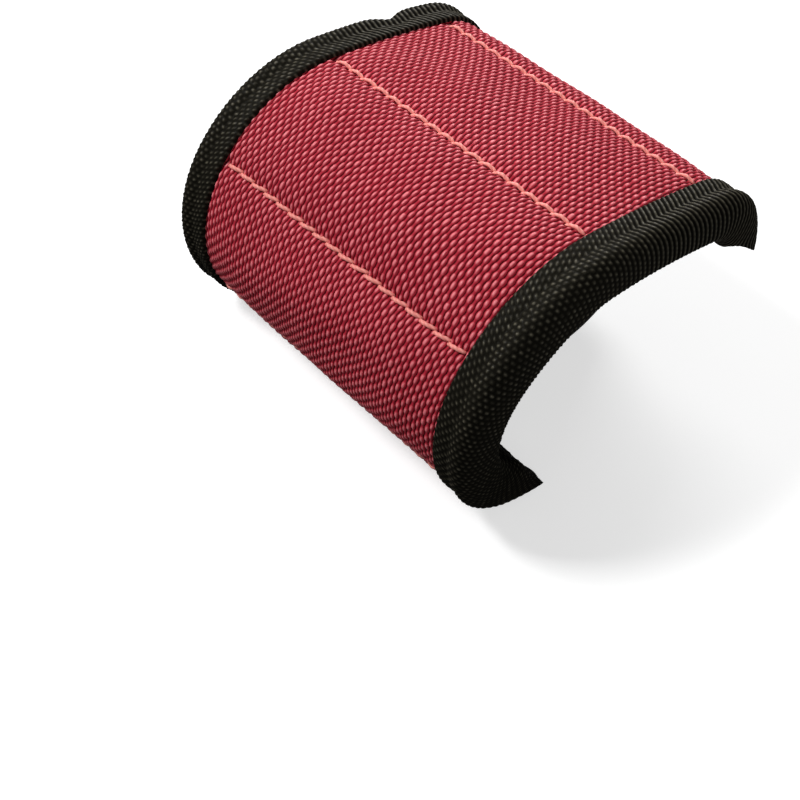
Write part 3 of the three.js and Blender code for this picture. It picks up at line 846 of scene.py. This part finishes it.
# Painted shade: the black thread's colour in the grooves between its plies.
EDGE_THREAD_PLY_SHADE = (0.001, 0.001, 0.001, 1)

edge_sewing = sewing_finish("edge_sewing", EDGE_THREAD, EDGE_THREAD_PLY_SHADE)
edge_count = int((BAND_LENGTH - 2 * END_BINDING_REACH) / EDGE_STITCH_PITCH)
edge_middles = BAND_LENGTH / 2 + stitch_row(edge_count, EDGE_STITCH_PITCH)
groove_across = BAND_WIDTH / 2 - BINDING_REACH + GROOVE_FROM_LIP
groove_top = BINDING_TOP - GROOVE_DEPTH - EDGE_STITCH_SINK
groove_bottom = BINDING_BOTTOM + GROOVE_DEPTH + EDGE_STITCH_SINK
edge_bounds = np.searchsorted(edge_middles[:, 0, 0], CUTS)
for seam, middles in enumerate(np.split(edge_middles, edge_bounds)):
    forward, side, up = stitch_strands(len(middles), EDGE_STITCH_LENGTH, EDGE_STITCH_SLANT, *EDGE_STITCH_GRID)
    along = middles + forward
    rows = [layer(along, edge * groove_across + side, groove_top + up) for edge in (-1, 1)]
    rows += [layer(along, edge * groove_across - side, groove_bottom - up) for edge in (-1, 1)]
    sewing = strand_piece(f"sewing_bindings_{seam + 1}", np.concatenate(rows), edge_sewing)
    bend_over_seam(sewing, seam)

# The end bindings: the same tape folded over the two short ends, between the bindings of the long edges.
# The left one is sewn round the tab and the right one round the strap.
END_TAPE_HALF = OPEN_HALF + 0.7 * MM
END_TAPE_COLUMNS = 96
END_RIB_PITCH = 1.1 * MM
END_RIBS_FROM = 45


def end_binding(at_end):
    """Face, back and thread places of the tape over a short end: rows run across the band, columns round
    the fold. at_end is False for the left end and True for the right."""
    across = np.arange(-END_TAPE_HALF, END_TAPE_HALF, BINDING_STEP)[:, None]
    across = across if at_end else across[::-1]
    grids = []
    for columns, inset in ((END_TAPE_COLUMNS, 0), (BINDING_BACK_COLUMNS, BINDING_THICKNESS)):
        share = np.linspace(0, 1, columns + 1)[None, ::-1]
        distance, height, at = folded_tape(share, END_BINDING_REACH, inset)
        grids.append((layer(BAND_LENGTH - distance if at_end else distance, across, height), at))
    (face, at), (back, _) = grids
    ribs, at = np.broadcast_arrays(END_RIBS_FROM + across / END_RIB_PITCH, at)
    relief = tape_relief(at, ribs, END_TAPE_HALF - np.abs(across))
    face = face + unit_normals(face) * relief[..., None]
    return face, back, np.stack((ribs, at / RIB_BREAK), axis=-1)


for end_name, end_body, at_end in (("left", "pocket_1", False), ("right", "pocket_5", True)):
    end_face, end_back, end_uv = end_binding(at_end)
    end_tape = cloth_piece(f"{end_name}_end_tape", end_face, end_back, binding_tape, end_uv,
                           unit_normals(end_face))
    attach(end_tape, end_body)
    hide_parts(f"{end_name}_end_binding")
    groove_along = END_BINDING_REACH - GROOVE_FROM_LIP
    groove_along = BAND_LENGTH - groove_along if at_end else groove_along
    end_count = int(2 * OPEN_HALF / EDGE_STITCH_PITCH)
    end_middles = stitch_row(end_count, EDGE_STITCH_PITCH)
    forward, side, up = stitch_strands(end_count, EDGE_STITCH_LENGTH, EDGE_STITCH_SLANT, *EDGE_STITCH_GRID)
    rows = [layer(groove_along - side, end_middles + forward, groove_top + up),
            layer(groove_along + side, end_middles + forward, groove_bottom - up)]
    end_sewing = strand_piece(f"sewing_{end_name}_end", np.concatenate(rows), edge_sewing)
    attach(end_sewing, end_body)

# The lining: black open mesh against the wrist, one length sewn in with the cover and cut here like it. Its
# holes are dimples in rows, each between six others.
LINING_TOP = -7.1 * MM
LINING_BOTTOM = -7.7 * MM
LINING_SWELL = 0.5 * MM
LINING_STEP = 0.42 * MM
LINING_COLUMNS = 180
LINING_BACK_COLUMNS = 10
MESH_PITCH = 2.3 * MM
MESH_DEPTH = 0.34 * MM
HOLE_FROM = 0.2
HOLE_SPAN = 1.8
MESH_YARN = (0.020, 0.020, 0.021, 1)
# Painted shade: the deep black in the mesh's holes.
MESH_HOLE_SHADE = (0.002, 0.002, 0.002, 1)
MESH_YARN_SCALE = 5.0
MESH_YARN_RELIEF = 0.08 * MM


def mesh_holes(along, across):
    """1 in the middle of a hole and 0 on the net between: three waves at 60 degrees to each other add up
    there."""
    first = 2 * np.pi * along / MESH_PITCH
    second = 2 * np.pi * across / (MESH_PITCH * np.sqrt(3))
    waves = np.cos(2 * first) + np.cos(first + second * 1.5) + np.cos(first - second * 1.5)
    return np.clip((waves - HOLE_FROM) / HOLE_SPAN, 0, 1)


def mesh_finish():
    """Black mesh: grey-black yarn, with its holes painted deep black as shade."""
    material, shader, hole, row = new_finish("lining_mesh", 0.7, sheen=0.05)
    yarn = mottle(row * MESH_YARN_SCALE, hole * MESH_YARN_SCALE)
    # Painted shade: the holes go to deep black.
    colour = mixed(hole.under(1.0), MESH_YARN, MESH_HOLE_SHADE)
    feed(shader, colour, 0.6 + hole * 0.3, yarn, MESH_YARN_RELIEF)
    return material


lining_mesh = mesh_finish()
lining_along = np.arange(COVER_INSET, BAND_LENGTH - COVER_INSET, LINING_STEP)[:, None]
lining_across = np.linspace(COVER_HALF, -COVER_HALF, LINING_COLUMNS + 1)[None, :]
lining_back_across = np.linspace(COVER_HALF, -COVER_HALF, LINING_BACK_COLUMNS + 1)[None, :]
holes = mesh_holes(lining_along, lining_across)
lining_level = LINING_BOTTOM - LINING_SWELL * fullness(lining_along, lining_across) + MESH_DEPTH * holes
lining_face = layer(lining_along, lining_across, lining_level)
lining_back_level = LINING_TOP - LINING_SWELL * fullness(lining_along, lining_back_across)
lining_back = layer(lining_along, lining_back_across, lining_back_level)
lining_uv = np.stack((holes, np.broadcast_to(lining_along / MESH_PITCH, holes.shape)), axis=-1)
lining_normals = unit_normals(lining_face)
for seam, rows in enumerate(seam_lengths(lining_along[:, 0])):
    lining = cloth_piece(f"lining_over_seam_{seam + 1}", lining_face[rows], lining_back[rows], lining_mesh,
                         lining_uv[rows], lining_normals[rows])
    bend_over_seam(lining, seam)
    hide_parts(f"lining_{seam + 1}", f"lining_{seam + 2}")
    f"padding_{seam + 1}"
    f"padding_{seam + 2}"

# The padding: a block of cream foam in each pocket, thicker in the middle, with three wells cut in from
# above. The magnets: nickel-plated discs with a small bevel, one in each well.
PADDING_TOP = -1.1 * MM
PADDING_BOTTOM = -6.8 * MM
PADDING_HALF = 40 * MM
PADDING_INSET = 1.2 * MM
PADDING_STEP = 0.7 * MM
MAGNET_RADIUS = 6 * MM
MAGNET_THICKNESS = 1.5 * MM
MAGNET_BEVEL = 0.25 * MM
MAGNET_SIDES = 64
WELL_CLEARANCE = 0.4 * MM
WHERE = ("near", "middle", "far")
# Painted shade: the darker colour in the pits of the foam's cells.
FOAM_PIT_SHADE = (0.60, 0.57, 0.50, 1)
FOAM_WALL = (0.78, 0.75, 0.68, 1)
FOAM_RELIEF = 0.2 * MM
NICKEL_DARK = (0.55, 0.53, 0.49, 1)
NICKEL_BRIGHT = (0.72, 0.70, 0.66, 1)
NICKEL_HAZE = (6.0, 3.0)


def foam_finish():
    """Cream foam with small open cells, a millimetre apart, painted darker as shade in the pits of the cells.
    """
    material, shader, across, along = new_finish("padding_foam", 0.95)
    inputs = {"Vector": surface_place(across, along), "Scale": 1.0}
    cells = Wire.node(across.tree, "ShaderNodeTexVoronoi", {}, inputs)
    colour = mixed(cells.under(1.0), FOAM_PIT_SHADE, FOAM_WALL)
    feed(shader, colour, 0.9 + cells * 0.1, cells, FOAM_RELIEF)
    return material


def nickel_finish():
    """Bright nickel plate with a faint haze."""
    material, shader, around, out = new_finish("magnet_plate", 0.25)
    shader.inputs["Metallic"].default_value = 1.0
    haze = mottle(around * NICKEL_HAZE[0], out * NICKEL_HAZE[1])
    colour = mixed(haze, NICKEL_DARK, NICKEL_BRIGHT)
    feed(shader, colour, 0.18 + haze * 0.2)
    return material


def disc_piece(name, centre, forward, upward, material):
    """A bevelled disc turned about its upward direction, closed by its two flat faces."""
    radius = np.array((-MAGNET_BEVEL, 0, 0, -MAGNET_BEVEL)) + MAGNET_RADIUS
    height = np.array((-0.5, -0.5, 0.5, 0.5)) * MAGNET_THICKNESS + np.array((0, 1, -1, 0)) * MAGNET_BEVEL
    turn = np.linspace(0, 2 * np.pi, MAGNET_SIDES, endpoint=False)[None, :]
    sideways = np.cross(upward, forward)
    ring = np.cos(turn)[..., None] * forward + np.sin(turn)[..., None] * sideways
    points = centre + radius[:, None, None] * ring + height[:, None, None] * upward
    index = np.arange(4 * MAGNET_SIDES).reshape(4, MAGNET_SIDES)
    beside = np.roll(index, -1, axis=1)
    walls = np.stack((index[:-1], beside[:-1], beside[1:], index[1:]), axis=-1).reshape(-1, 4)
    around = np.broadcast_to(turn, index.shape)
    uv = np.stack((around, np.broadcast_to(np.arange(4)[:, None], index.shape)), axis=-1).reshape(-1, 2)
    return new_piece(name, points.reshape(-1, 3), [walls, index[:1, ::-1], index[-1:]], material, uv)


padding_foam = foam_finish()
magnet_plate = nickel_finish()
for pocket in range(POCKETS):
    middle = (OPEN_FROM[pocket] + OPEN_TO[pocket]) / 2
    forward = band(middle + MM, 0.0, 0.0) - band(middle - MM, 0.0, 0.0)
    forward = forward / np.linalg.norm(forward)
    upward = np.cross(forward, (0, 1, 0))
    pad_from = OPEN_FROM[pocket] + PADDING_INSET
    pad_to = OPEN_TO[pocket] - PADDING_INSET
    along = np.arange(pad_from, pad_to, PADDING_STEP)[:, None]
    across = np.arange(-PADDING_HALF, PADDING_HALF, PADDING_STEP)[None, :]
    full = fullness(along, across)
    top = PADDING_TOP + COVER_SWELL * full
    bottom = PADDING_BOTTOM - LINING_SWELL * full
    for where in WHERE:
        box_low, box_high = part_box(f"magnet_{pocket + 1}_{where}")
        centre = (np.array(box_low) + np.array(box_high)) / 2
        disc = disc_piece(f"magnet_disc_{pocket + 1}_{where}", centre, forward, upward, magnet_plate)
        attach(disc, f"pocket_{pocket + 1}")
        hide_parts(f"magnet_{pocket + 1}_{where}")
        seat = centre - upward * (MAGNET_THICKNESS / 2 + WELL_CLEARANCE)
        surface = layer(along, across, top)
        out = surface - seat
        above = out @ upward
        beside = np.linalg.norm(out - above[..., None] * upward, axis=-1)
        in_well = beside < MAGNET_RADIUS + WELL_CLEARANCE
        top = np.where(in_well, np.maximum(top - np.maximum(above, 0), bottom + WELL_CLEARANCE), top)
    pad_uv = np.stack(np.broadcast_arrays(across / MM, along / MM), axis=-1)
    pad = cloth_piece(f"foam_pad_{pocket + 1}", layer(along, across, top), layer(along, across, bottom),
                      padding_foam, pad_uv)
    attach(pad, f"pocket_{pocket + 1}")
    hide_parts(f"padding_{pocket + 1}")

# The closure: black webbing under the wrist. A short tab sewn in the left end carries loop pile on its
# underside; a strap sewn in the right end runs round to it and carries hook tape on the upper side of its
# tip.
STRAP_HALF = 20 * MM
STRAP_THICKNESS = 1.2 * MM
STRAP_BEND_RADIUS = 22 * MM
STRAP_LEVEL = 0.6 * MM
TAB_LEVEL = 4.1 * MM
TAB_LENGTH = 28 * MM
TIP_LENGTH = 27 * MM
TIP_CLEARANCE = 1 * MM
TIP_CORNER = 7 * MM
TAPE_MARGIN = 2 * MM
PATCH_BACK = -0.5 * MM
PILE_FACE = -1.7 * MM
HOOK_FACE = -1.5 * MM
PATCH_STITCH_PITCH = 2.6 * MM
PATCH_STITCH_LENGTH = 2.2 * MM
PATCH_STITCH_SINK = 0.42 * MM
PATCH_STITCH_INSET = 1.3 * MM
SEWN_IN = 5 * MM
TIP_CUT = 6 * MM
TIP_FLEX = (-4 * MM, 1.5 * MM)
ROOT_FLEX = (-1 * MM, 7 * MM)
WEBBING_STEP = 0.4 * MM
WEBBING_COLUMNS = 100
WEBBING_RELIEF = 0.09 * MM
CHEVRON_WIDTH = 4 * MM
CHEVRON_PITCH = 1.7 * MM
STRIP_EDGE_POWER = 12
STRIP_EDGE_LEAST = 0.1
STRIP_CORNER_LEAST = 0.05
HOOK_PITCH = 1.2 * MM
HOOK_RISE = 0.14 * MM
NAP_RISE = 0.12 * MM
NAP_WAVES_ALONG = (2600, 1500)
NAP_WAVES_ACROSS = (2300, 1900)
WEBBING_DARK = (0.006, 0.006, 0.006, 1)
# Painted highlight: the greyer colour on the webbing's ridges.
WEBBING_RIDGE_HIGHLIGHT = (0.030, 0.029, 0.028, 1)
WEBBING_YARNS = (4.0, 1.6)
WEBBING_YARN_RELIEF = 0.1 * MM
PILE_DARK = (0.004, 0.004, 0.004, 1)
PILE_LIGHT = (0.030, 0.030, 0.032, 1)
PILE_LOOP_SCALE = 3.0
PILE_LOOP_RELIEF = 0.35 * MM
# Painted shade: the darker colour between the rows of hooks.
HOOK_SHADE_BETWEEN_ROWS = (0.003, 0.003, 0.003, 1)
HOOK_LIGHT = (0.028, 0.028, 0.029, 1)
HOOK_ROW_RELIEF = 0.1 * MM

webbing_height = BINDING_TOP - TAB_LEVEL
tab_root = band(0.0, 0.0, webbing_height)
tab_line = curl_line((tab_root[0], TAB_LEVEL), 0.0, (TAB_LENGTH,), (0.0,))
strap_root = band(BAND_LENGTH, 0.0, webbing_height)
strap_heading = np.pi + LEFT_END_LIFT - np.sum(POCKET_CURLS)
strap_curl = np.pi + strap_heading
bend_drop = STRAP_BEND_RADIUS * (1 + np.cos(strap_heading))
strap_hang = (strap_root[2] - STRAP_LEVEL - bend_drop) / -np.sin(strap_heading)
level_start = strap_root[0] + strap_hang * np.cos(strap_heading) + STRAP_BEND_RADIUS * np.sin(strap_heading)
level_length = level_start - band(0.0, 0.0, BINDING_TOP)[0] - TIP_CLEARANCE
strap_parts = (strap_hang, STRAP_BEND_RADIUS * strap_curl, level_length)
strap_line = curl_line(strap_root[[0, 2]], strap_heading, strap_parts, (0.0, strap_curl, 0.0))
strap_length = sum(strap_parts)
tip_start = strap_length - TIP_LENGTH


def chevrons(along, across):
    """Height of herringbone webbing, from -1 to 1: slanting ridges that turn back at the middle of each
    stripe."""
    stripe = across / CHEVRON_WIDTH
    slant = 2 * np.abs(stripe - np.round(stripe))
    return np.cos(2 * np.pi * (along / CHEVRON_PITCH + slant))


def strip_piece(name, material, line, start, end, half, corner, low, high, relief):
    """A closed strip along a line, from the height low to the height high, with thin edges and rounded
    corners at its far end. Rows run along the strip. relief gives the height of the surface pattern
    at a place."""
    along = np.linspace(start, end, int((end - start) / WEBBING_STEP) + 1)[:, None]
    share = np.linspace(-1, 1, WEBBING_COLUMNS + 1)[None, :]
    past = np.clip(along - (end - corner), 0, corner)
    rounded = np.sqrt(np.maximum(corner**2 - past**2, (STRIP_CORNER_LEAST * corner) ** 2))
    across = share * (half - corner + rounded)
    edge = np.sqrt(np.clip(1 - np.abs(share) ** STRIP_EDGE_POWER, STRIP_EDGE_LEAST, 1))
    middle, thick = (low + high) / 2, (high - low) / 2
    pattern = relief(along, across)
    top = line(along, across, middle + (thick + pattern) * edge)
    bottom = line(along, across, middle - (thick + pattern) * edge)
    uv = np.stack(np.broadcast_arrays(across / MM, along / MM), axis=-1)
    return cloth_piece(name, top, bottom, material, uv)


def webbing_finish():
    """Black webbing: herringbone ridges painted a little greyer as highlight and the grooves darker as shade,
    with fine yarns along them.
    """
    material, shader, across, along = new_finish("strap_webbing", 0.6, sheen=0.1)
    stripe = across / (CHEVRON_WIDTH / MM)
    slant = (stripe - stripe.nearest()).size() * 2.0
    ridge = ((along / (CHEVRON_PITCH / MM) + slant) * (2 * np.pi)).wave() * 0.5 + 0.5
    yarn = mottle(across * WEBBING_YARNS[0], along * WEBBING_YARNS[1])
    # Painted highlight on the ridges and painted shade in the grooves.
    colour = mixed(ridge * 0.6 + yarn * 0.4, WEBBING_DARK, WEBBING_RIDGE_HIGHLIGHT)
    feed(shader, colour, 0.75 - ridge * 0.2, ridge + yarn * 0.6, WEBBING_YARN_RELIEF)
    return material


def pile_finish():
    """Loop pile: a soft black nap of tiny loops."""
    material, shader, across, along = new_finish("loop_pile", 0.95, sheen=0.5)
    loops = mottle(across * PILE_LOOP_SCALE, along * PILE_LOOP_SCALE, detail=4.0)
    colour = mixed(loops, PILE_DARK, PILE_LIGHT)
    feed(shader, colour, 0.85 + loops * 0.15, loops, PILE_LOOP_RELIEF)
    return material


def hook_finish():
    """Hook tape: slightly shiny black nylon, painted darker as shade between the rows of hooks."""
    material, shader, across, along = new_finish("hook_tape", 0.4)
    turn = 2 * np.pi / (HOOK_PITCH / MM)
    rows = ((across * turn).wave() + (along * turn).wave()) * 0.25 + 0.5
    colour = mixed(rows, HOOK_SHADE_BETWEEN_ROWS, HOOK_LIGHT)
    feed(shader, colour, 0.6 - rows * 0.25, rows, HOOK_ROW_RELIEF)
    return material


def webbing_relief(along, across):
    """Herringbone ridges, cut down from the webbing's full thickness."""
    return WEBBING_RELIEF * (chevrons(along, across) - 1)


def nap_relief(along, across):
    """Uneven nap: a few slow waves that cross each other."""
    waves = np.cos(along * NAP_WAVES_ALONG[0]) * np.cos(across * NAP_WAVES_ACROSS[0])
    waves = waves + np.cos(along * NAP_WAVES_ALONG[1] + across * NAP_WAVES_ACROSS[1])
    return NAP_RISE * (waves / 2 - 1)


def hook_relief(along, across):
    """Rows of hooks: one round bump at each crossing of two sets of lines."""
    bumps = np.cos(np.pi * along / HOOK_PITCH) ** 2 * np.cos(np.pi * across / HOOK_PITCH) ** 2
    return HOOK_RISE * (bumps - 1)


def patch_sewing(name, line, start, end, low, high, body):
    """Black stitches round a patch, in two long rows and two short ones, on the patch and on the
    webbing's back."""
    start, end = start + PATCH_STITCH_INSET, end - PATCH_STITCH_INSET
    half = tape_half - PATCH_STITCH_INSET
    long_count = int((end - start) / PATCH_STITCH_PITCH)
    short_count = int(2 * half / PATCH_STITCH_PITCH)
    long_middles = (start + end) / 2 + stitch_row(long_count, PATCH_STITCH_PITCH)
    short_middles = stitch_row(short_count, PATCH_STITCH_PITCH)
    rows = []
    for level, facing in ((high - PATCH_STITCH_SINK, 1), (low + PATCH_STITCH_SINK, -1)):
        forward, side, up = stitch_strands(long_count, PATCH_STITCH_LENGTH, 0, *EDGE_STITCH_GRID)
        for edge in (-half, half):
            rows.append(line(long_middles + forward, edge + facing * side, level + facing * up))
        forward, side, up = stitch_strands(short_count, PATCH_STITCH_LENGTH, 0, *EDGE_STITCH_GRID)
        for edge in (start, end):
            rows.append(line(edge - facing * side, short_middles + forward, level + facing * up))
    sewing = strand_piece(name, np.concatenate(rows), edge_sewing)
    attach(sewing, body)


strap_webbing = webbing_finish()
half_thickness = STRAP_THICKNESS / 2
tape_half = STRAP_HALF - TAPE_MARGIN
tape_corner = TIP_CORNER - TAPE_MARGIN

tab = strip_piece("tab_webbing", strap_webbing, tab_line, -SEWN_IN, TAB_LENGTH, STRAP_HALF, TIP_CORNER,
                  -half_thickness, half_thickness, webbing_relief)
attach(tab, "pocket_1")
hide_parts("loop_tab")

pile = strip_piece("pile_patch", pile_finish(), tab_line, 0.0, TAB_LENGTH - TAPE_MARGIN, tape_half,
                   tape_corner, PILE_FACE, PATCH_BACK, nap_relief)
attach(pile, "pocket_1")
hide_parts("loop_pile")
patch_sewing("sewing_pile", tab_line, 0.0, TAB_LENGTH - TAPE_MARGIN, PILE_FACE, half_thickness, "pocket_1")

strap_end = tip_start - TIP_CUT
strap = strip_piece("strap_length", strap_webbing, strap_line, -SEWN_IN, strap_end, STRAP_HALF, 0.0,
                    -half_thickness, half_thickness, webbing_relief)
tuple(strap_line(ROOT_FLEX[0], 0.0, 0.0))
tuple(strap_line(ROOT_FLEX[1], 0.0, 0.0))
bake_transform(strap)
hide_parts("strap")
strap_end + SEWN_IN

tip = strip_piece("tip_webbing", strap_webbing, strap_line, strap_end - WEBBING_STEP, strap_length,
                  STRAP_HALF, TIP_CORNER, -half_thickness, half_thickness, webbing_relief)
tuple(strap_line(tip_start + TIP_FLEX[0], 0.0, 0.0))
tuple(strap_line(tip_start + TIP_FLEX[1], 0.0, 0.0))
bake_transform(tip)
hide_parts("strap_tip")

hook_start, hook_end = tip_start + TAPE_MARGIN, strap_length - TAPE_MARGIN
hook = strip_piece("hook_patch", hook_finish(), strap_line, hook_start, hook_end, tape_half, tape_corner,
                   HOOK_FACE, PATCH_BACK, hook_relief)
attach(hook, "closure_tip")
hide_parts("hook_tape")
patch_sewing("sewing_hook", strap_line, hook_start, hook_end, HOOK_FACE, half_thickness, "closure_tip")
